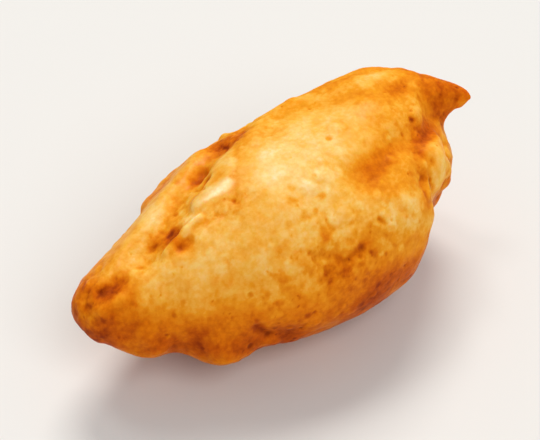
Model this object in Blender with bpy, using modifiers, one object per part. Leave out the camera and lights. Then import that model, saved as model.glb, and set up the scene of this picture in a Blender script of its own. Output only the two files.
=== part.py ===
"""Kibbeling: one chunk of white fish in a puffed, deep-fried batter crust.

The piece lies the way it would on a plate. Its long axis runs along X, from a thin
tip at -X to a blunt end whose upper edge curls out into a beak at +X. It rests on a
small flat underside at Z = 0, and the origin is the middle of its footprint's box.

Every size and place below is in millimetres and is scaled to metres where it is used.
"""

import math

import bmesh
import bpy
import numpy as np
from mathutils import Vector, geometry

MM = 0.001

# Driving dimensions of the chunk, before the folds and drips of batter are added
LENGTH = 55.0
HALF_WIDTH = 14.3
RISE = 12.2
DROP = 12.0
AXIS_HEIGHT = 11.0
RESTING_HEIGHT = -0.2

# How the chunk swells from its thin tip (-1) to its blunt end (+1)
ALONG = (-1.0, -0.9, -0.68, -0.45, -0.2, 0.15, 0.5, 0.75, 1.0)
WIDTH_SHARE = (0.70, 0.70, 0.70, 0.81, 0.95, 1.02, 1.08, 1.05, 1.0)
RISE_SHARE = (0.70, 0.68, 0.67, 0.81, 0.94, 1.0, 1.06, 1.05, 1.0)
DROP_SHARE = (0.60, 0.64, 0.76, 0.86, 0.95, 1.0, 1.05, 1.0, 0.9)
SIDE_SHIFT = (1.5, 1.0, 0.2, -0.2, 0.0, 0.0, 0.5, 1.5, 2.0)

# Rolls of batter along the far edge, the band ending in the beak: places along each,
# with the roll's radius there
ROLLS = {
    "rim": ((-24, 2, 13, 1.4), (-14.5, 5.2, 15.6, 2), (-6, 8.4, 16.8, 2.4), (0, 9.6, 16.8, 2.2)),
    "band": (
        (3, 7, 17.3, 4),
        (13, 6.2, 17.4, 5.4),
        (21, 5, 17.4, 5.8),
        (26, 2, 18.4, 3),
        (30.4, -0.2, 18, 1.3),
    ),
}

# Rounded masses that stand out of the chunk: centre, then half sizes
SWELLS = {
    "shoulder": ((15, 1.5, 14.2), (10.5, 8.5, 8.6)),
    "drip_near_the_tip": ((-19.8, -2.4, 8.8), (4.4, 4.2, 3.6)),
    "drip_at_the_front": ((-12.5, -6.4, 7.2), (5.2, 4.6, 3.8)),
}

# Relief of the skin: rise (+) or sink (-), reach to each side, and the line it follows
RELIEF = {
    "trough_inside_the_rim": (-1.2, 2.8, (-18.5, 0.2, 17), (-12, 2.6, 19), (-7.5, 5.2, 19.8), (-3, 6.8, 20)),
    "thin_tip_pit": (-0.6, 2.4, (-23.5, 0, 15.2), (-21.5, 0.8, 16)),
    "sunken_spot": (-0.5, 4.0, (10.5, -6.2, 20.8), (7.5, -7.2, 20.8)),
    "end_crease": (-0.6, 2.2, (14, -5, 20.8), (20, -3.4, 19.6), (23.5, -1.6, 18.8)),
    "end_fold": (0.9, 2.6, (19, -6.8, 18), (21.5, -7.6, 12)),
    "end_valley": (-1.1, 2.6, (15.4, -8.8, 17), (19, -10.6, 11)),
    "end_corner": (-2.2, 7.5, (21.5, -9, 9), (18, -12, 8)),
    "front_wrinkle": (-0.5, 2.2, (-11, -11, 9), (-7, -12.2, 8)),
}

SKIN_VOXEL = 1.15
SMOOTHING_PASSES = 4
CRUST_COLOUR = (0.82, 0.43, 0.10, 1.0)
CRUST_ROUGHNESS = 0.45


def clear_scene():
    for old in list(bpy.data.objects):
        bpy.data.objects.remove(old, do_unlink=True)


def add_chunk(masses):
    """The egg-shaped body: a ball stretched to the shares above."""
    ball = bmesh.ops.create_icosphere(masses, subdivisions=5, radius=1.0)
    for point in ball["verts"]:
        along, across, up = point.co
        half_width = np.interp(along, ALONG, WIDTH_SHARE) * HALF_WIDTH
        rise = np.interp(along, ALONG, RISE_SHARE) * RISE
        drop = np.interp(along, ALONG, DROP_SHARE) * DROP
        shift = np.interp(along, ALONG, SIDE_SHIFT)
        height = AXIS_HEIGHT + up * (rise if up > 0 else drop)
        point.co = Vector((along * LENGTH / 2, across * half_width + shift, height)) * MM


def add_swell(masses, centre, half_sizes):
    ball = bmesh.ops.create_icosphere(masses, subdivisions=4, radius=1.0)
    for point in ball["verts"]:
        point.co = (point.co * Vector(half_sizes) + Vector(centre)) * MM


def add_roll(masses, name, route):
    """A tapering roll of batter: a curve with a round bevel, made a mesh."""
    curve = bpy.data.curves.new(name, "CURVE")
    curve.dimensions = "3D"
    curve.bevel_depth = MM
    curve.bevel_resolution = 4
    curve.use_fill_caps = True
    line = curve.splines.new("NURBS")
    line.points.add(len(route) - 1)
    line.order_u = 3
    line.use_endpoint_u = True
    for point, (x, y, z, radius) in zip(line.points, route):
        point.co = (x * MM, y * MM, z * MM, 1.0)
        point.radius = radius
    holder = bpy.data.objects.new(name, curve)
    bpy.context.scene.collection.objects.link(holder)
    tube = mesh_as_shown(holder)
    bpy.data.objects.remove(holder, do_unlink=True)
    masses.from_mesh(tube)


def mesh_as_shown(holder):
    graph = bpy.context.evaluated_depsgraph_get()
    return bpy.data.meshes.new_from_object(holder.evaluated_get(graph))


def one_skin(masses):
    """Joins the masses under one skin, and smooths where they meet."""
    mesh = bpy.data.meshes.new("masses")
    masses.to_mesh(mesh)
    holder = bpy.data.objects.new("masses", mesh)
    bpy.context.scene.collection.objects.link(holder)
    remesh = holder.modifiers.new("one_skin", "REMESH")
    remesh.mode = "VOXEL"
    remesh.voxel_size = SKIN_VOXEL * MM
    smooth = holder.modifiers.new("shrunk_batter", "SMOOTH")
    smooth.factor = 0.5
    smooth.iterations = SMOOTHING_PASSES
    skin = bmesh.new()
    skin.from_mesh(mesh_as_shown(holder))
    bpy.data.objects.remove(holder, do_unlink=True)
    return skin


def distance_to_line(place, line):
    nearest = math.inf
    for start, end in zip(line, line[1:]):
        _, share = geometry.intersect_point_line(place, start, end)
        on_line = start.lerp(end, min(max(share, 0.0), 1.0))
        nearest = min(nearest, (place - on_line).length)
    return nearest


def shape_relief(skin):
    """Raises and sinks the skin along the lines in RELIEF, fading out at their reach."""
    for rise, reach, *places in RELIEF.values():
        line = [Vector(place) * MM for place in places]
        skin.normal_update()
        for point in skin.verts:
            share = distance_to_line(point.co, line) / (reach * MM)
            if share < 1.0:
                point.co += point.normal * rise * MM * (1.0 - share ** 2) ** 2


def cut_flat_underside(skin):
    """Slices the lowest bulge off, so that the piece has a flat spot to rest on."""
    everything = skin.verts[:] + skin.edges[:] + skin.faces[:]
    level = Vector((0, 0, RESTING_HEIGHT * MM))
    cut = bmesh.ops.bisect_plane(skin, geom=everything, plane_co=level, plane_no=(0, 0, 1), clear_inner=True)
    rim = [edge for edge in cut["geom_cut"] if isinstance(edge, bmesh.types.BMEdge)]
    bmesh.ops.contextual_create(skin, geom=rim)


def centre_on_footprint(skin):
    """Moves the piece so that the origin is the middle of its footprint's box."""
    places = np.array([point.co for point in skin.verts])
    low, high = places.min(axis=0), places.max(axis=0)
    middle = (low + high) / 2
    bmesh.ops.translate(skin, verts=skin.verts, vec=(-middle[0], -middle[1], -low[2]))


def crust_material():
    material = bpy.data.materials.new("fried_batter")
    material.use_nodes = True
    shader = material.node_tree.nodes["Principled BSDF"]
    shader.inputs["Base Color"].default_value = CRUST_COLOUR
    shader.inputs["Roughness"].default_value = CRUST_ROUGHNESS
    shader.inputs["Metallic"].default_value = 0.0
    return material


def main():
    clear_scene()
    masses = bmesh.new()
    add_chunk(masses)
    for centre, half_sizes in SWELLS.values():
        add_swell(masses, centre, half_sizes)
    for name, route in ROLLS.items():
        add_roll(masses, name, route)
    skin = one_skin(masses)
    masses.free()
    shape_relief(skin)
    cut_flat_underside(skin)
    centre_on_footprint(skin)
    mesh = bpy.data.meshes.new("kibbeling")
    skin.to_mesh(mesh)
    skin.free()
    mesh.shade_smooth()
    mesh.materials.append(crust_material())
    collection = bpy.data.collections.new("kibbeling_piece")
    bpy.context.scene.collection.children.link(collection)
    collection.objects.link(bpy.data.objects.new("kibbeling", mesh))


main()
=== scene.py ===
import math

import bpy
import numpy as np
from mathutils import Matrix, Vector, noise


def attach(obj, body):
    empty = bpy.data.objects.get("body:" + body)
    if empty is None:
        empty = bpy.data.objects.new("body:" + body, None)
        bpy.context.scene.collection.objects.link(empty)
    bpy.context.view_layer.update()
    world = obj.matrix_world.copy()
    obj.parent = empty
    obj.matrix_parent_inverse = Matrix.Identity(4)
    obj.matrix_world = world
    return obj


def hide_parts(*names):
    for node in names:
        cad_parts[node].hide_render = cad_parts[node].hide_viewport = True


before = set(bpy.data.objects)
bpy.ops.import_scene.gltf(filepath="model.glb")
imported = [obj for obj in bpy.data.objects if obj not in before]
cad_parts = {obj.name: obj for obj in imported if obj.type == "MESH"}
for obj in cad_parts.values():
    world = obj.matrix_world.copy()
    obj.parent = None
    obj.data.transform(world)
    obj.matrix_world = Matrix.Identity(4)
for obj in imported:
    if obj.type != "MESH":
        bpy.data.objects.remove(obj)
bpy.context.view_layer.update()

mm = 0.001
faintest = 0.001        # a lower weight is left out of a vertex group


# small helpers

def pickOnly(*things):
    bpy.ops.object.select_all(action="DESELECT")
    for thing in things:
        thing.select_set(True)
    bpy.context.view_layer.objects.active = things[0]


def applyModifiers(piece):
    pickOnly(piece)
    for modifier in list(piece.modifiers):
        bpy.ops.object.modifier_apply(modifier=modifier.name)


def screenColour(red, green, blue):
    # 0-255 as shown on a screen, turned into the light values that shaders use
    shares = [value / 255 for value in (red, green, blue)]
    return tuple(s / 12.92 if s <= 0.04045 else ((s + 0.055) / 1.055) ** 2.4 for s in shares) + (1.0,)


def placesOf(piece):
    flat = np.empty(len(piece.data.vertices) * 3, np.float32)
    piece.data.vertices.foreach_get("co", flat)
    return flat.reshape(-1, 3) / mm


def normalsOf(piece):
    flat = np.empty(len(piece.data.vertices) * 3, np.float32)
    piece.data.vertex_normals.foreach_get("vector", flat)
    return flat.reshape(-1, 3)


def fade(value, low, high):
    # 0 at low, 1 at high, smooth between; low may be above high
    share = np.clip((value - low) / (high - low), 0, 1)
    return share * share * (3 - 2 * share)


def awayFrom(piece, places, line):
    # how far each place is from a dot or a line of dots laid on the skin, in mm
    dots = [np.array(piece.closest_point_on_mesh(Vector(dot) * mm)[1]) / mm for dot in line]
    nearest = np.linalg.norm(places - dots[0], axis=1)
    for start, end in zip(dots, dots[1:]):
        run = end - start
        share = np.clip((places - start) @ run / (run @ run), 0, 1)
        nearest = np.minimum(nearest, np.linalg.norm(places - start - share[:, None] * run, axis=1))
    return nearest


def selectPoints(piece, chosen):
    # goes into edit mode with just the chosen points selected
    for parts in (piece.data.edges, piece.data.polygons):
        parts.foreach_set("select", np.zeros(len(parts), bool))
    piece.data.vertices.foreach_set("select", chosen)
    pickOnly(piece)
    bpy.ops.object.mode_set(mode="EDIT")
    bpy.ops.mesh.select_mode(type="VERT")


def addGroup(piece, name, weights):
    group = piece.vertex_groups.new(name=name)
    for index in np.nonzero(weights > faintest)[0]:
        group.add([int(index)], float(weights[index]), "REPLACE")


def addPush(piece, name, weights, push, texture=None, middle=0.0):
    # moves the skin along its normals, by push mm where the weight is 1
    addGroup(piece, name, weights)
    modifier = piece.modifiers.new(name, "DISPLACE")
    modifier.vertex_group = name
    modifier.strength = push * mm
    modifier.mid_level = middle
    modifier.texture_coords = "LOCAL"
    modifier.texture = texture


def addAttribute(piece, name, values):
    layer = piece.data.attributes.new(name, "FLOAT", "POINT")
    layer.data.foreach_set("value", np.asarray(values, np.float32))


# the crust: a fine skin over the chunk, shaped by strokes

crustSkin = {
    "weld": 0.01,           # mm, between the corners of the loose triangles
    "voxel": 0.50,          # mm, before it is refined
    "smoothing": 8,
    "smoothStep": 0.5,
    "levels": 1,
}

# the lines that several of the tables below follow, as places (mm)
crustLines = {
    "rim": (
        (-25, 1, 15), (-21.5, 2.5, 16.5), (-18, 4, 17.5), (-14, 5.5, 18.5), (-10, 7, 19.5), (-6, 8.5, 19.5),
    ),
    "crescent": (
        (-12.1, 1.2, 20.5), (-11.2, 0.7, 21), (-10.1, 0.4, 21.4), (-9.3, 0.2, 21.7), (-8.4, 0.5, 22),
    ),
    "streak": ((-7.4, 1.4, 22.3), (-6.3, 2.3, 22.3), (-5.7, 2.9, 22.4)),
    "band": ((9.5, 7, 22.5), (12.5, 5.5, 22.5), (17.5, 5, 23), (20, 4, 22.5)),
}

# soft noises: lump size (mm), a shift that sets them apart, how much they sway either way
crustNoises = {
    "strokeEdge": (1.6, 5.0, 0.3),
    "roughGround": (6.0, 3.1, 0.35),
    "roughEdge": (3.0, 8.0, 0.3),
    "shadeLine": (7.0, 16.0, 2.2),
    "stainAndShadeEdge": (2.2, 12.0, 0.45),
    "glossEdge": (2.2, 12.0, 0.3),
    "speckEdge": (0.7, 21.0, 0.7),
}

# strokes: push (mm, + is out), reach (mm), then the places along the stroke (mm)
crustStrokes = {
    "rimCrest": (0.40, 2.3, *crustLines["rim"]),
    "hollowByTheGlint": (-0.55, 1.5, (-9, 5, 19.5), (-8, 5.5, 20)),
    "hollowUnderTheRim": (-0.55, 1.3, (-9.9, 3.2, 20.4), (-9, 3.4, 20.7)),
    "grooveInsideTheRim": (0.20, 1.6, (-11, 3, 19.5), (-13, 2.5, 19), (-15, 1.5, 18), (-17, 1, 17.5)),
    "pitInTheGroove": (-0.32, 1.6, (-15.8, 0.1, 18.4)),
    "pitAtTheGroovesEnd": (-0.14, 0.9, (-18.5, 1, 17)),
    "pitUnderTheStrand": (-0.35, 1.0, (-16.5, -2.5, 18.5), (-15.5, -2.5, 19)),
    "strand": (0.35, 0.8, (-18, -1.5, 18), (-15, -1, 19.5), (-13, -1, 20.5)),
    "glintLump": (0.12, 1.6, *crustLines["crescent"]),
    "streak": (0.14, 1.1, *crustLines["streak"]),
    "domeEdge": (0.45, 2.4, (-1.5, 5, 22.5), (3, 8, 21.5), (7, 8.5, 21.5)),
    "tipPit": (-0.30, 1.2, (-25.5, 0.5, 14.5), (-23, 0, 15.5)),
    "tipDimple": (-0.25, 1.0, (-27.5, 0.5, 13.5)),
    "tipLump": (0.35, 1.4, (-26.5, -1.5, 13.5), (-24.5, -2, 15)),
    "beakFold": (0.35, 2.0, (20.5, 1.5, 21.5), (19.5, 0, 21.5), (18, -2, 21)),
    "pitByTheBeak": (-0.15, 0.7, (17, -2.5, 21)),
    "endOval": (0.60, 2.2, (19, -4.5, 18), (17, -7, 18), (16, -8.5, 16)),
    "endValleyFill": (0.55, 1.5, (14.4, -7.3, 18.4), (14, -8.2, 17.2), (13.2, -9.5, 16)),
    "endValleyRight": (-0.40, 1.4, (21.5, -4.5, 16.5), (20.5, -6.5, 14.5), (18, -8.5, 14.5)),
    "endPatch": (0.35, 2.2, (9.5, -11, 18), (9, -12, 16)),
    "scorchedDent": (-0.25, 2.8, (5, -7, 21.5), (8, -6, 21.5), (12, -4.5, 21.5)),
    "beakEnd": (0.4, 1.7, (27.4, -0.9, 18.6)),
    "dash": (-0.22, 0.6, (4.5, -11.5, 18), (5, -12, 17.5)),
    "patchDents": (-0.25, 1.0, (-5, -11.5, 17.5), (-3, -12, 17), (-1.5, -13, 16), (1, -13, 16.5)),
    "lowCrease": (-0.30, 1.1, (-12.5, -11, 10.5), (-11, -11, 8.5)),
    "dripBulgeA": (0.4, 2.2, (-23.5, -5.5, 11), (-22.5, -6, 9)),
    "dripBulgeB": (0.4, 2.6, (-17, -9.5, 9.5), (-16, -9.5, 7.5)),
    "bandFill": (0.10, 2.4, *crustLines["band"]),
    "endLumpHigh": (0.8, 3.2, (26, 4, 14), (25, 6, 12)),
    "endLumpMiddle": (0.6, 2.6, (25, 0, 10), (24, -2, 8)),
    "endLumpLow": (0.7, 3.0, (22, 5, 6), (23, 2, 5)),
    "endFold": (-0.6, 1.3, (26, 1, 16), (26, 2, 12), (25, 3, 9), (23, 5, 8), (20, 9, 8)),
    "endFoldAcross": (-0.5, 1.2, (25, -4, 12), (25, 0, 12.5), (26, 2, 12)),
    "backRidge": (0.7, 2.4, (-13, 9, 15), (-5, 12, 14), (5, 13.5, 13), (14, 12, 13.5), (20, 9, 15)),
    "backHollow": (-0.5, 2.6, (-12, 10, 11), (-3, 13, 10), (6, 14, 9)),
    "backCrease": (-0.6, 1.3, (7, 11, 19), (9, 13, 15), (8, 14, 11), (10, 13, 7)),
    "backFold": (-0.5, 1.2, (-14, 8, 14), (-12, 10, 11), (-13, 9, 7)),
    "backLumpNear": (0.7, 3.2, (-8, 12, 6.5), (-5, 12.5, 6)),
    "backLumpMiddle": (0.8, 3.4, (3, 13.5, 6), (5, 13, 5.5)),
    "backLumpFar": (0.6, 3.0, (14, 12, 8), (16, 11, 6)),
    "backBlister": (0.6, 2.0, (0, 12, 17)),
}


def softNoise(places, name):
    size, shift, sway = crustNoises[name]
    apart = Vector((shift, shift * 1.7, shift * 2.3))
    return sway * np.array([noise.noise(Vector(place) / size + apart) for place in places])


def makeCrust():
    crust = bpy.data.objects.new("crust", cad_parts["kibbeling"].data.copy())
    bpy.context.scene.collection.objects.link(crust)
    crust.data.materials.clear()
    pickOnly(crust)
    bpy.ops.object.mode_set(mode="EDIT")
    bpy.ops.mesh.select_all(action="SELECT")
    bpy.ops.mesh.remove_doubles(threshold=crustSkin["weld"] * mm)
    bpy.ops.object.mode_set(mode="OBJECT")
    remesh = crust.modifiers.new("skin", "REMESH")
    remesh.mode = "VOXEL"
    remesh.voxel_size = crustSkin["voxel"] * mm
    smooth = crust.modifiers.new("smooth", "SMOOTH")
    smooth.factor = crustSkin["smoothStep"]
    smooth.iterations = crustSkin["smoothing"]
    finer = crust.modifiers.new("finer", "SUBSURF")
    finer.levels = finer.render_levels = crustSkin["levels"]
    applyModifiers(crust)
    print("crust skin:", len(crust.data.vertices), "points")
    return crust


def shapeCrust(crust):
    places = placesOf(crust)
    wobble = softNoise(places, "strokeEdge")
    for name, (push, reach, *line) in crustStrokes.items():
        share = awayFrom(crust, places, line) * (1 + wobble) / reach
        addPush(crust, name, fade(share, 1, 0), push)
    applyModifiers(crust)
    print("crust strokes:", len(crustStrokes))


# where the batter is rough and where it is smooth: amount, reach (mm), places (mm)

plainRoughness = 0.28       # to which the zones add theirs
roughZones = {
    "trough": (0.32, 5, (-18, 0, 17), (-9, 4, 20)),
    "topEdge": (0.6, 4, (-2.5, 8, 21)),
    "tip": (0.6, 8, (-28, 1, 12)),
    "mottledPatch": (0.45, 7, (-3, -12.5, 16), (3, -13, 16)),
    "end": (0.6, 8, (21, -6, 11), (24, 4, 10)),
    "beak": (0.3, 5, (27, 0, 19)),
    "back": (0.6, 10, (-10, 12, 9), (12, 13, 9)),
    "dome": (-0.35, 9, (-5, -4, 22), (8, 2, 23)),
    "glint": (-0.25, 1.8, (-11.5, 1, 21), (-8.5, 2, 22), (-4.5, 4.5, 22)),
    "rim": (-0.40, 2.4, *crustLines["rim"][1:5]),
    "lowFront": (-0.22, 5.5, (-20, -8, 10), (-10, -12, 10), (0, -14, 10), (10, -13, 10)),
    "belowTheGlint": (0.55, 2.6, (-12, -2.5, 20.5), (-9, -3, 21.5), (-6.5, -3.5, 22)),
}

# puffs: noise type, lump size (mm), push (mm), octaves, middle, share where it is smooth
batterPuffs = {
    "swell": ("SOFT_NOISE", 8.0, 0.7, 1, 0.5, 1.0),
    "puff": ("HARD_NOISE", 4.0, 0.60, 1, 0.35, 0.25),
    "smallPuff": ("HARD_NOISE", 1.7, 0.26, 1, 0.35, 0.2),
    "grain": ("SOFT_NOISE", 0.6, 0.10, 2, 0.5, 0.4),
}

# dots: how many, smallest and largest radius (mm), push (mm)
batterBlisters = {"count": 150, "seed": 11, "small": 0.5, "large": 1.6, "push": 0.20}
batterPits = {"count": 110, "seed": 23, "small": 0.25, "large": 0.6, "push": -0.22}
dotShape = {
    "onSmoothBatter": 0.15,     # chance of a dot there, against 1 more on the roughest
    "largeAreFew": 3,
    "softEdge": 1.6,
    "smallAreLow": 0.7,
}


def roughShare(crust, places):
    share = plainRoughness + softNoise(places, "roughGround")
    wobble = softNoise(places, "roughEdge")
    for amount, reach, *line in roughZones.values():
        share = share + amount * fade(awayFrom(crust, places, line) * (1 + wobble) / reach, 1, 0)
    return np.clip(share, 0, 1)


def dotWeights(places, rough, kind):
    # rounded dots strewn over the skin, thickest where the batter is rough
    draws = np.random.default_rng(kind["seed"])
    chance = dotShape["onSmoothBatter"] + rough
    centres = draws.choice(len(places), kind["count"], p=chance / chance.sum())
    spread = kind["large"] - kind["small"]
    sizes = kind["small"] + spread * draws.random(kind["count"]) ** dotShape["largeAreFew"]
    weights = np.zeros(len(places))
    for centre, size in zip(centres, sizes):
        away = np.linalg.norm(places - places[centre], axis=1) / size
        dome = np.clip(1 - away ** 2, 0, 1) ** dotShape["softEdge"]
        weights = np.maximum(weights, dome * (size / kind["large"]) ** dotShape["smallAreLow"])
    return weights


def roughenCrust(crust):
    places = placesOf(crust)
    rough = roughShare(crust, places)
    for name, (kind, size, push, octaves, middle, smoothShare) in batterPuffs.items():
        texture = bpy.data.textures.new(name, "CLOUDS")
        texture.noise_type = kind
        texture.noise_basis = "IMPROVED_PERLIN"
        texture.noise_scale = size * mm
        texture.noise_depth = octaves
        addPush(crust, name, smoothShare + (1 - smoothShare) * rough, push, texture, middle)
    addPush(crust, "blisters", dotWeights(places, rough, batterBlisters), batterBlisters["push"])
    addPush(crust, "pits", dotWeights(places, rough, batterPits), batterPits["push"])
    applyModifiers(crust)
    addAttribute(crust, "rough", rough)
    print("crust roughened")


# the wet spot: a small flat film of oil, which shines as one patch

wetSpot = {
    "line": crustLines["crescent"],
    "facing": (-0.30, -0.07, 0.95),
    "reach": 0.5,           # mm
    "blend": 1.2,           # mm
    "height": 0.35,         # share of the relief that is left
}


def flattenWetSpot(crust):
    line = wetSpot["line"]
    centre = crust.closest_point_on_mesh(Vector(line[len(line) // 2]) * mm)[1]
    selectPoints(crust, awayFrom(crust, placesOf(crust), line) < wetSpot["reach"])
    facing = Vector(wetSpot["facing"]).normalized()
    across = facing.orthogonal().normalized()
    axes = (across, facing.cross(across), facing)
    bpy.ops.transform.resize(
        value=(1, 1, wetSpot["height"]), center_override=centre,
        orient_type="GLOBAL", orient_matrix=axes, orient_matrix_type="GLOBAL",
        use_proportional_edit=True, proportional_size=wetSpot["blend"] * mm,
    )
    bpy.ops.object.mode_set(mode="OBJECT")
    print("wet spot flattened")


def settleOnFloor(crust):
    # what the puffs pushed below the floor is pressed flat on it
    below = placesOf(crust)[:, 2] < 0
    selectPoints(crust, below)
    bpy.ops.transform.resize(value=(1, 1, 0), center_override=(0, 0, 0))
    bpy.ops.object.mode_set(mode="OBJECT")
    print("points pressed on the floor:", int(below.sum()))


# how far the crust is browned, from 0 to 1, with painted shade and painted highlight laid in

crustBrowningAndShade = {
    "top": 0.41,
    "lowPaintedShade": 0.43,            # added towards the bottom: painted shade of the lower flank
    "shadeLine": (16, 7.5),       # mm, from where it starts to where it is whole
    "knee": 0.70,               # past it, stains add only a share of their amount
    "pastTheKnee": 0.55,
    # smoothing passes that flatten small pores, then whole hollows, to measure their depth
    "flattening": (("pore", 6), ("hollow", 40)),
    "smoothStep": 0.5,
}

# stains, with painted shade and painted highlight laid on the same way: amount (+ browner, - paler), reach
# (mm), places (mm)
crustStainsAndPaintedLight = {
    # paler dome: partly pale batter, partly painted sheen
    "domePaleAndSheen": (-0.22, 11, (-4, -5, 22), (0.5, -1.5, 23), (4, 0, 23)),
    "domeLight": (-0.09, 2.6, (-0.4, 2.3, 23), (-3, -1.3, 23), (-3, -4, 22.4), (-0.3, -6.7, 21.6)),
    "domeTopGold": (0.07, 2.8, (2.8, -0.4, 23), (5.3, 0.5, 23)),
    "shoulderGold": (0.06, 2.6, (5.2, -1.9, 22.9), (9.6, -2, 22.6)),
    "besideTheStreak": (0.15, 2.2, (-4.6, 3.5, 22.3), (-5.1, 0.6, 22.7), (-6.6, 0.4, 22.4)),
    "frontPale": (-0.09, 5, (-1.9, -8.5, 20.5), (0, -8, 21), (4, -9, 20.5)),
    "lowPale": (-0.14, 3.0, (-19.5, -3.4, 16.8), (-18.6, -4.7, 16.5), (-13.5, -5.5, 18.5)),
    "belowTheStrand": (-0.07, 2.6, (-14.6, -1.8, 19.4), (-13.5, -3.3, 19.6), (-14.1, -4.6, 19)),
    "leftOfTheDome": (-0.12, 3.2, (-12.7, -0.8, 20.4), (-12.6, -2.9, 20), (-10.7, -3.6, 20.6)),
    # paler where the glint shines: partly pale wet batter, partly painted highlight
    "glint": (
        -0.26, 1.4,
        (-11.6, 0.7, 20.9), (-11.2, 0.6, 21), (-10.1, 0.4, 21.4), (-9.3, 0.3, 21.7), (-8.4, 0.5, 22),
    ),
    # browner in the hollow under the rim: partly burnt batter, partly painted shade
    "hollowUnderTheRim": (0.20, 1.3, (-9.8, 3.2, 20.4), (-9, 3.4, 20.7)),
    # painted highlight: paler along the shining streak
    "streak": (-0.06, 1.1, *crustLines["streak"]),
    "bandCrease": (-0.20, 2.6, *crustLines["band"]),
    "bandGold": (0.18, 7, (9, 7, 22), (15.5, 5, 23), (19.5, 4, 22.5)),
    "beak": (0.40, 7, (26, 1, 20), (29, -1, 18.5)),
    "bandMiddlePale": (-0.06, 2.4, (9, 4.8, 22.5), (12.3, 4.6, 22.7), (16.6, 1.9, 22.5)),
    "beakSidePale": (-0.18, 1.8, (21.8, -0.2, 19.8)),
    "belowTheBeak": (0.18, 2.2, (19.1, -3.2, 19), (17, -5, 19.5), (14.6, -6.2, 19.6)),
    "underBeak": (0.16, 3, (17.5, -3, 20), (20, -2, 19), (25, -1, 17)),
    "ovalPale": (-0.14, 2.3, (17.2, -6, 19), (16, -8.5, 16.5)),
    "scorched": (0.17, 4.4, (7, -6.3, 21.3), (8.2, -6.7, 20.9), (10.5, -5.4, 20.9)),
    "scorchedHeart": (0.16, 2.6, (7.5, -6.4, 21), (9.3, -5.8, 21)),
    "belowTheScorch": (0.08, 2.6, (5.4, -8.6, 20.2), (8.5, -8.4, 19.9), (11.2, -10, 18.1)),
    "scorchedArm": (0.05, 1.8, (9.3, -5.8, 21), (11.8, -5, 20.5), (13.4, -4.2, 20.7)),
    "aboveTheOval": (0.16, 1.8, (17.4, -4.4, 19.3), (19.5, -3.8, 18.8)),
    "endValleys": (0.12, 1.8, (16.5, -4, 19.5), (13.5, -8.5, 17), (12, -11, 15)),
    # painted highlight: a creamy pale patch on the front of the end
    "endPatchHighlight": (-0.15, 2.8, (9.5, -11, 18)),
    "endSide": (0.12, 6, (24, -4, 12), (20, -9, 9)),
    "lowerLeft": (0.11, 4.5, (-15.6, -9.4, 13), (-12.5, -10.9, 13)),
    "tipLow": (0.10, 5, (-26, -3, 12.5), (-23.5, -5.5, 11.5)),
    "troughLow": (-0.14, 3.0, (-23, 1, 16), (-19, 1.5, 16.6), (-16, 3.5, 18)),
    "troughEndPale": (-0.12, 2.2, (-20.8, 0.8, 16.2), (-18.8, -0.6, 16.6)),
    "belowTheTrough": (-0.06, 2.6, (-21, -2, 16.5), (-19, -2.7, 17.5), (-16, -3.5, 18.5)),
    "middleGold": (0.09, 2.8, (-4.9, -6.6, 21.4), (-4.2, -8.6, 20.3), (-6.2, -9.2, 19.4)),
    "rightFlankPale": (-0.20, 2.8, (6.2, -12.1, 17.3), (7.4, -12.6, 16.4)),
    "rightGold": (0.08, 2.0, (4.1, -9.9, 19.7), (4.6, -11.3, 18.5)),
    # browner lobe tips: partly fried darker, partly painted shade
    "lobeTipsBrownAndShade": (0.20, 2.6, (-23, -6.5, 9.5), (-20, -8.5, 8.5), (-17, -10, 8.8), (-14, -10.5, 7.5)),
    # painted shade: browner on the rim's back slope
    "rimBackShade": (0.08, 3, (-13, 8.5, 17), (-9, 11, 16), (-6, 9.2, 20)),
    # painted shade: browner at the beak's root
    "beakRootShade": (0.10, 2.5, (20.2, -2.4, 18.7), (21, -4, 17)),
    "mottledPatch": (0.14, 5, (-3, -12, 17), (-1.5, -13.5, 14.5), (1, -13, 16)),
    "patchSmear": (0.15, 1.7, (2, -12.8, 16.8), (-0.7, -12.9, 16), (-3.4, -13, 15.3)),
    "patchDrop": (0.20, 2.2, (-3.4, -12.9, 15.3), (-3.6, -13.5, 13.8), (-1.6, -14, 13)),
    "patchLow": (0.05, 2.4, (-3.4, -12.9, 15.3), (-1, -13.1, 15.5), (0.8, -13.6, 15.1)),
    "patchTopPale": (-0.08, 2.0, (-3.3, -10.6, 18.7), (-1.8, -11.1, 18.4), (0.9, -11.6, 18)),
    "besideThePatch": (-0.15, 2.6, (-9, -10.4, 17.1), (-7, -11.1, 17.3), (-6.7, -12, 15.9)),
    "tip": (0.42, 7.5, (-29, 1, 11)),
    # painted shade: browner low on the right
    "lowRightShade": (0.12, 5, (3, -14, 9), (10, -13, 9), (16, -11, 9)),
    # the stains from here down to strandPit brown the pits, trough and groove: partly burnt batter, partly
    # painted shade
    "tipPit": (0.22, 1.8, (-25.5, 0.5, 14.5), (-23, 0, 15.5)),
    "tipTrough": (0.20, 2.2, (-24.8, -0.7, 14.8), (-23.6, -2.2, 15.4)),
    "troughPits": (0.20, 1.8, (-9, 5, 19.5)),
    "troughTop": (0.10, 1.8, (-5.1, 6.9, 20.1), (-3.8, 7, 20.3)),
    "groove": (0.03, 2.2, (-13, 2.5, 19), (-15, 1.5, 18), (-18.5, 1, 17)),
    "grooveDot": (0.40, 1.9, (-15.8, 0, 18.5)),
    "troughRed": (0.28, 1.9, (-17.2, 0.8, 17.5), (-16.4, -0.8, 18.7)),
    "grooveEndDot": (0.10, 1.1, (-18.5, 1, 17)),
    "strandPit": (0.20, 1.8, (-16.7, -2.4, 18.4), (-16.1, -3, 18.4)),
    "besideTheGlint": (0.14, 1.6, (-9.5, -3, 21.5), (-8, -2.5, 22)),
    "topEdge": (0.26, 4.2, (-3.5, 9, 20), (-1.5, 7, 21.5)),
}

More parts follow.
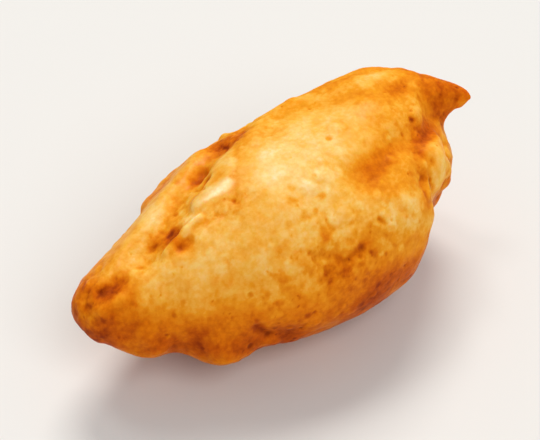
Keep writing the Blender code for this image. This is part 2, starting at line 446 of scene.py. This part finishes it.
# where the crust is wet with oil, and where it is dry: amount, reach (mm), how far out it
# keeps its full amount (mm), places (mm)

glossZones = {
    "oily": (
        (1.0, 1.2, 0.35, *crustLines["crescent"]),
        (0.12, 1.0, 0.2, crustLines["crescent"][-1], *crustLines["streak"]),
    ),
    "dry": (
        (1.0, 8, 3, (0, 9, 20), (11, 8, 22), (20, 4, 22.5), (27, 0, 20)),
    ),
}

# a thin sheen lies on what faces up, is out of the hollows and is pale: from none to whole

sheenRanges = {
    "facingUp": (0.35, 0.85),
    "depth": (0.10, -0.02),     # mm
    "browningAndPaintedLight": (0.62, 0.42),
}

# brown specks

specks = {
    "seed": 5,
    "small": 0.20,              # mm
    "large": 0.75,              # mm
    "largeAreFew": 2,
    "elsewhere": 130,           # how many all over
    "faint": 0.4,               # the weakest, against 1 for the strongest
    "edge": (1.1, 0.2),         # from none to whole, in shares of the radius
}

# zones of more specks: how many, reach (mm), places (mm)
speckZones = {
    "mottledPatch": (38, 3.8, (-4, -11.5, 17.5), (-3, -13, 15.5), (1, -13, 16)),
    "patchTop": (8, 2.5, (-3.5, -8, 20.5), (-2.5, -10.5, 19)),
    "lowPatch": (16, 3.5, (-9, -11.5, 16), (-10, -12, 13.5)),
    "end": (12, 4.0, (16, -8, 17), (12, -11, 15)),
    "trough": (12, 3.0, (-18, 0, 17), (-10, 4, 19.5)),
    "tip": (16, 5.0, (-26, 0, 13)),
    "lowFront": (20, 4.0, (-18, -8, 13), (-8, -12, 12)),
}

# single specks: reach (mm), place (mm)
speckDots = {
    "patchUpper": (1.0, (-3.5, -8, 20.5)),
    "patchMiddle": (1.3, (-2.5, -10.5, 19)),
    "patchTop": (0.6, (-0.5, -7.5, 21.5)),
    "dash": (0.8, (4.5, -11.5, 18)),
    "end": (0.8, (14, -9, 16.5)),
    "front": (0.8, (-9, -11.5, 16)),
    "frontLow": (0.7, (-10, -12, 13.5)),
    "beak": (0.5, (17, -2.5, 21)),
    "shoulder": (0.6, (-4, -6, 21.5)),
}


def speckWeights(crust, places):
    draws = np.random.default_rng(specks["seed"])
    centres = list(draws.choice(len(places), specks["elsewhere"]))
    for count, reach, *line in speckZones.values():
        near = np.nonzero(awayFrom(crust, places, line) < reach)[0]
        centres += list(draws.choice(near, count))
    weights = np.zeros(len(places))
    warp = 1 + softNoise(places, "speckEdge")
    spread = specks["large"] - specks["small"]
    for centre in centres:
        size = specks["small"] + spread * draws.random() ** specks["largeAreFew"]
        strength = specks["faint"] + (1 - specks["faint"]) * draws.random()
        away = np.linalg.norm(places - places[centre], axis=1) * warp / size
        weights = np.maximum(weights, strength * fade(away, *specks["edge"]))
    for reach, dot in speckDots.values():
        away = awayFrom(crust, places, [dot]) * warp / reach
        weights = np.maximum(weights, fade(away, *specks["edge"]))
    return weights


def markDepths(crust, places, normals):
    # marks how deep each point lies below a smoothed copy of the skin, and returns the hollows' depths
    flattened = crust.copy()
    flattened.data = crust.data.copy()
    bpy.context.scene.collection.objects.link(flattened)
    for name, passes in crustBrowningAndShade["flattening"]:
        smooth = flattened.modifiers.new("smooth", "SMOOTH")
        smooth.factor = crustBrowningAndShade["smoothStep"]
        smooth.iterations = passes
        applyModifiers(flattened)
        depth = np.einsum("ij,ij->i", placesOf(flattened) - places, normals)
        addAttribute(crust, name, depth)
    bpy.data.objects.remove(flattened, do_unlink=True)
    return depth


def brownShare(crust, places):
    heights = places[:, 2] + softNoise(places, "shadeLine")
    # painted shade: browner towards the bottom, below a wavering shade line
    brown = crustBrowningAndShade["top"] + crustBrowningAndShade["lowPaintedShade"] * fade(heights, *crustBrowningAndShade["shadeLine"])
    wobble = softNoise(places, "stainAndShadeEdge")
    for amount, reach, *line in crustStainsAndPaintedLight.values():
        brown += amount * fade(awayFrom(crust, places, line) * (1 + wobble) / reach, 1, 0)
    knee = crustBrowningAndShade["knee"]
    return np.clip(np.where(brown > knee, knee + crustBrowningAndShade["pastTheKnee"] * (brown - knee), brown), 0, 1)


def glossShare(crust, places, zones):
    wobble = softNoise(places, "glossEdge")
    share = np.zeros(len(places))
    for amount, reach, full, *line in zones:
        away = awayFrom(crust, places, line) * (1 + wobble)
        share = np.maximum(share, amount * fade(away, reach, full))
    return share


def markBrowningAndShade(crust):
    places, normals = placesOf(crust), normalsOf(crust)
    depth = markDepths(crust, places, normals)
    brown = brownShare(crust, places)
    addAttribute(crust, "browningAndPaintedLight", brown)
    addAttribute(crust, "speck", speckWeights(crust, places))
    gloss = {name: glossShare(crust, places, zones) for name, zones in glossZones.items()}
    for name, share in gloss.items():
        addAttribute(crust, name, share)
    sheen = fade(normals[:, 2], *sheenRanges["facingUp"]) * fade(depth, *sheenRanges["depth"])
    addAttribute(crust, "sheen", sheen * fade(brown, *sheenRanges["browningAndPaintedLight"]) * (1 - gloss["dry"]))
    print("crust browned:", len(crustStainsAndPaintedLight), "stains")


# the crust's colours and gloss

crustLook = {
    # noises: lump size (mm), detail, roughness, a shift that sets them apart
    "broad": (6.0, 3.0, 0.55, 0.0),
    "mottle": (1.8, 4.0, 0.6, 0.3),
    "freckle": (0.6, 2.0, 0.6, 0.7),
    "grain": (0.35, 3.0, 0.6, 1.1),
    "noiseRange": (0.3, 0.7),
    # how much browner each makes the crust, from the least to the most
    "broadBrowning": (-0.10, 0.10),
    "mottleBrowning": (-0.11, 0.15),
    "smoothMottle": 0.12,                       # share of the mottle on smooth batter
    "freckleBrowning": (-0.04, 0.05),
    # painted shade in hollows and pores, painted light on bumps
    "hollowShadeBumpLight": (-0.12, 0.25, -0.06, 0.16),   # from and to a depth (mm), least and most
    "poreShadeBumpLight": (-0.03, 0.05, -0.03, 0.08),
    "speckBrowning": 0.22,
    "roughness": (0.36, 0.50),
    "oilyRoughness": -0.26,                     # added where it is oily
    "dryRoughness": 0.25,                       # added where it is dry
    "ior": 1.33,
    "specular": 0.07,
    "glow": 0.6,                                # light that spreads under the skin
    "glowColour": (1.0, 0.35, 0.08),
    "glowReach": 1.6,                           # mm
    "oilyCoat": 0.75,
    "sheenCoat": (0.35, 0.65, 0.03, 0.12),      # from and to a mottle, least and most
    "coatIor": 1.7,
    "coatRoughness": 0.20,
    "bump": 0.4,
    "oilyBump": -0.2,                           # added where it is oily
    "bumpHeight": 0.1,                          # mm
    # share browned, painted shade and highlight included, then the colour as shown on a screen
    "stops": (
        (0.00, (254, 226, 172)), (0.15, (251, 205, 122)), (0.30, (247, 183, 75)), (0.45, (240, 157, 32)),
        (0.62, (226, 126, 12)), (0.80, (198, 90, 7)), (0.95, (160, 62, 6)), (1.00, (143, 53, 6)),
    ),
}


class Wiring:
    # short forms for adding and linking a material's nodes

    def __init__(self, name):
        self.material = bpy.data.materials.new(name)
        self.material.use_nodes = True
        self.tree = self.material.node_tree
        self.shader = self.tree.nodes["Principled BSDF"]
        self.place = self.add("ShaderNodeTexCoord").outputs["Object"]

    def add(self, kind, **settings):
        node = self.tree.nodes.new(kind)
        for key, value in settings.items():
            setattr(node, key, value)
        return node

    def feed(self, socket, value):
        if isinstance(value, bpy.types.NodeSocket):
            self.tree.links.new(value, socket)
        else:
            socket.default_value = value

    def attribute(self, name):
        return self.add("ShaderNodeAttribute", attribute_name=name).outputs["Fac"]

    def sums(self, operation, first, second=0.0, third=0.0, clamp=False):
        node = self.add("ShaderNodeMath", operation=operation, use_clamp=clamp)
        for socket, value in zip(node.inputs, (first, second, third)):
            self.feed(socket, value)
        return node.outputs[0]

    def range(self, value, low, high, toLow, toHigh):
        node = self.add("ShaderNodeMapRange", interpolation_type="SMOOTHSTEP")
        for socket, number in zip(node.inputs, (value, low, high, toLow, toHigh)):
            self.feed(socket, number)
        return node.outputs[0]

    def lumps(self, size, detail, roughness, shift):
        shifted = self.add("ShaderNodeMapping")
        self.feed(shifted.inputs["Vector"], self.place)
        shifted.inputs["Location"].default_value = (shift, shift * 0.7, shift * 0.4)
        node = self.add("ShaderNodeTexNoise")
        self.feed(node.inputs["Vector"], shifted.outputs[0])
        node.inputs["Scale"].default_value = 1 / (size * mm)
        node.inputs["Detail"].default_value = detail
        node.inputs["Roughness"].default_value = roughness
        return node.outputs["Fac"]

    def ramp(self, share, stops):
        node = self.add("ShaderNodeValToRGB")
        elements = node.color_ramp.elements
        while len(elements) < len(stops):
            elements.new(0.5)
        for element, (position, colour) in zip(elements, stops):
            element.position = position
            element.color = screenColour(*colour)
        self.feed(node.inputs[0], share)
        return node.outputs[0]


def crustMaterial():
    wires = Wiring("friedBatter")
    look = crustLook
    span = look["noiseRange"]
    oily = wires.attribute("oily")
    mottle = wires.lumps(*look["mottle"])

    # how brown it is, from 0 to 1, painted shade and highlight included, and the colour of that
    broad = wires.range(wires.lumps(*look["broad"]), *span, *look["broadBrowning"])
    freckles = wires.range(wires.lumps(*look["freckle"]), *span, *look["freckleBrowning"])
    mottleShare = wires.sums("ADD", wires.attribute("rough"), look["smoothMottle"])
    mottled = wires.sums("MULTIPLY", wires.range(mottle, *span, *look["mottleBrowning"]), mottleShare)
    done = wires.sums("ADD", wires.attribute("browningAndPaintedLight"), broad)
    done = wires.sums("ADD", done, mottled)
    done = wires.sums("ADD", done, freckles)
    # painted shade: browner in hollows and pores, paler on bumps
    done = wires.sums("ADD", done, wires.range(wires.attribute("hollow"), *look["hollowShadeBumpLight"]))
    done = wires.sums("ADD", done, wires.range(wires.attribute("pore"), *look["poreShadeBumpLight"]))
    done = wires.sums("MULTIPLY_ADD", wires.attribute("speck"), look["speckBrowning"], done, clamp=True)
    sockets = wires.shader.inputs
    wires.feed(sockets["Base Color"], wires.ramp(done, look["stops"]))

    # gloss
    gloss = wires.range(mottle, *span, *look["roughness"])
    gloss = wires.sums("MULTIPLY_ADD", oily, look["oilyRoughness"], gloss)
    gloss = wires.sums("MULTIPLY_ADD", wires.attribute("dry"), look["dryRoughness"], gloss)
    wires.feed(sockets["Roughness"], gloss)
    sockets["IOR"].default_value = look["ior"]
    sockets["Specular IOR Level"].default_value = look["specular"]
    sheen = wires.sums("MULTIPLY", wires.attribute("sheen"), wires.range(mottle, *look["sheenCoat"]))
    wires.feed(sockets["Coat Weight"], wires.sums("MULTIPLY_ADD", oily, look["oilyCoat"], sheen))
    sockets["Coat IOR"].default_value = look["coatIor"]
    sockets["Coat Roughness"].default_value = look["coatRoughness"]

    # glow under the skin
    sockets["Subsurface Weight"].default_value = look["glow"]
    sockets["Subsurface Radius"].default_value = look["glowColour"]
    sockets["Subsurface Scale"].default_value = look["glowReach"] * mm

    # grain
    bump = wires.add("ShaderNodeBump")
    wires.feed(bump.inputs["Strength"], wires.sums("MULTIPLY_ADD", oily, look["oilyBump"], look["bump"]))
    bump.inputs["Distance"].default_value = look["bumpHeight"] * mm
    wires.feed(bump.inputs["Height"], wires.lumps(*look["grain"]))
    wires.feed(sockets["Normal"], bump.outputs[0])
    return wires.material


def finishCrust(crust):
    crust.vertex_groups.clear()
    pickOnly(crust)
    bpy.ops.object.shade_smooth()
    crust.data.materials.append(crustMaterial())
    print("crust finished:", len(crust.data.polygons), "faces")


# floor, lights and camera

studio = {
    "floorSize": 3.0,             # m
    "floorColour": (229, 229, 228),
    "floorRoughness": 0.7,
    "skyStrength": 0.33,
    "lights": {
        # azimuth, elevation and spread (degrees), strength, colour, whether gloss mirrors it
        "key": (140, 52, 27, 1.72, (1.0, 0.95, 0.88), True),
        "fill": (-5, 47, 40, 1.20, (1.0, 0.98, 0.95), False),
        "glint": (184, 62, 14, 0.34, (1.0, 0.97, 0.92), True),
    },
    "aim": (-1.3, 1.4, 12.0),     # mm
    "azimuth": -37.0,
    "elevation": 41.0,
    "distance": 190.0,            # mm
    "lens": 106.0,                # mm, and so are the next two
    "sensor": 36.0,
    "nearest": 10.0,
}


def directionFrom(azimuth, elevation):
    turn, rise = math.radians(azimuth), math.radians(elevation)
    return Vector((math.sin(turn) * math.cos(rise), -math.cos(turn) * math.cos(rise), math.sin(rise)))


def addLight(name, azimuth, elevation, spread, strength, colour, glossy):
    # a far, wide light: spread is how many degrees of the sky it fills
    toward = directionFrom(azimuth, elevation)
    bpy.ops.object.light_add(type="SUN", location=toward)
    light = bpy.context.object
    light.name = name
    light.rotation_euler = (-toward).to_track_quat("-Z", "Y").to_euler()
    light.data.angle = math.radians(spread)
    light.data.energy = strength
    light.data.color = colour
    light.visible_glossy = glossy


def makeStudio():
    bpy.ops.mesh.primitive_plane_add(size=studio["floorSize"])
    floor = bpy.context.object
    floor.name = "floor"
    wires = Wiring("paleFloor")
    wires.shader.inputs["Base Color"].default_value = screenColour(*studio["floorColour"])
    wires.shader.inputs["Roughness"].default_value = studio["floorRoughness"]
    floor.data.materials.append(wires.material)
    world = bpy.data.worlds.new("studio")
    bpy.context.scene.world = world
    world.use_nodes = True
    sky = world.node_tree.nodes["Background"]
    sky.inputs["Color"].default_value = (1, 1, 1, 1)
    sky.inputs["Strength"].default_value = studio["skyStrength"]
    for name, light in studio["lights"].items():
        addLight(name, *light)
    toward = directionFrom(studio["azimuth"], studio["elevation"])
    aim = Vector(studio["aim"]) * mm
    bpy.ops.object.camera_add(location=aim + toward * studio["distance"] * mm)
    camera = bpy.context.object
    camera.rotation_euler = (-toward).to_track_quat("-Z", "Y").to_euler()
    camera.data.lens = studio["lens"]
    camera.data.sensor_width = studio["sensor"]
    camera.data.clip_start = studio["nearest"] * mm
    bpy.context.scene.camera = camera
    bpy.context.scene.view_settings.view_transform = "Standard"
    print("studio:", len(studio["lights"]), "lights")


crust = makeCrust()
shapeCrust(crust)
roughenCrust(crust)
flattenWetSpot(crust)
settleOnFloor(crust)
markBrowningAndShade(crust)
finishCrust(crust)
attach(crust, "root")
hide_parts("kibbeling")
makeStudio()
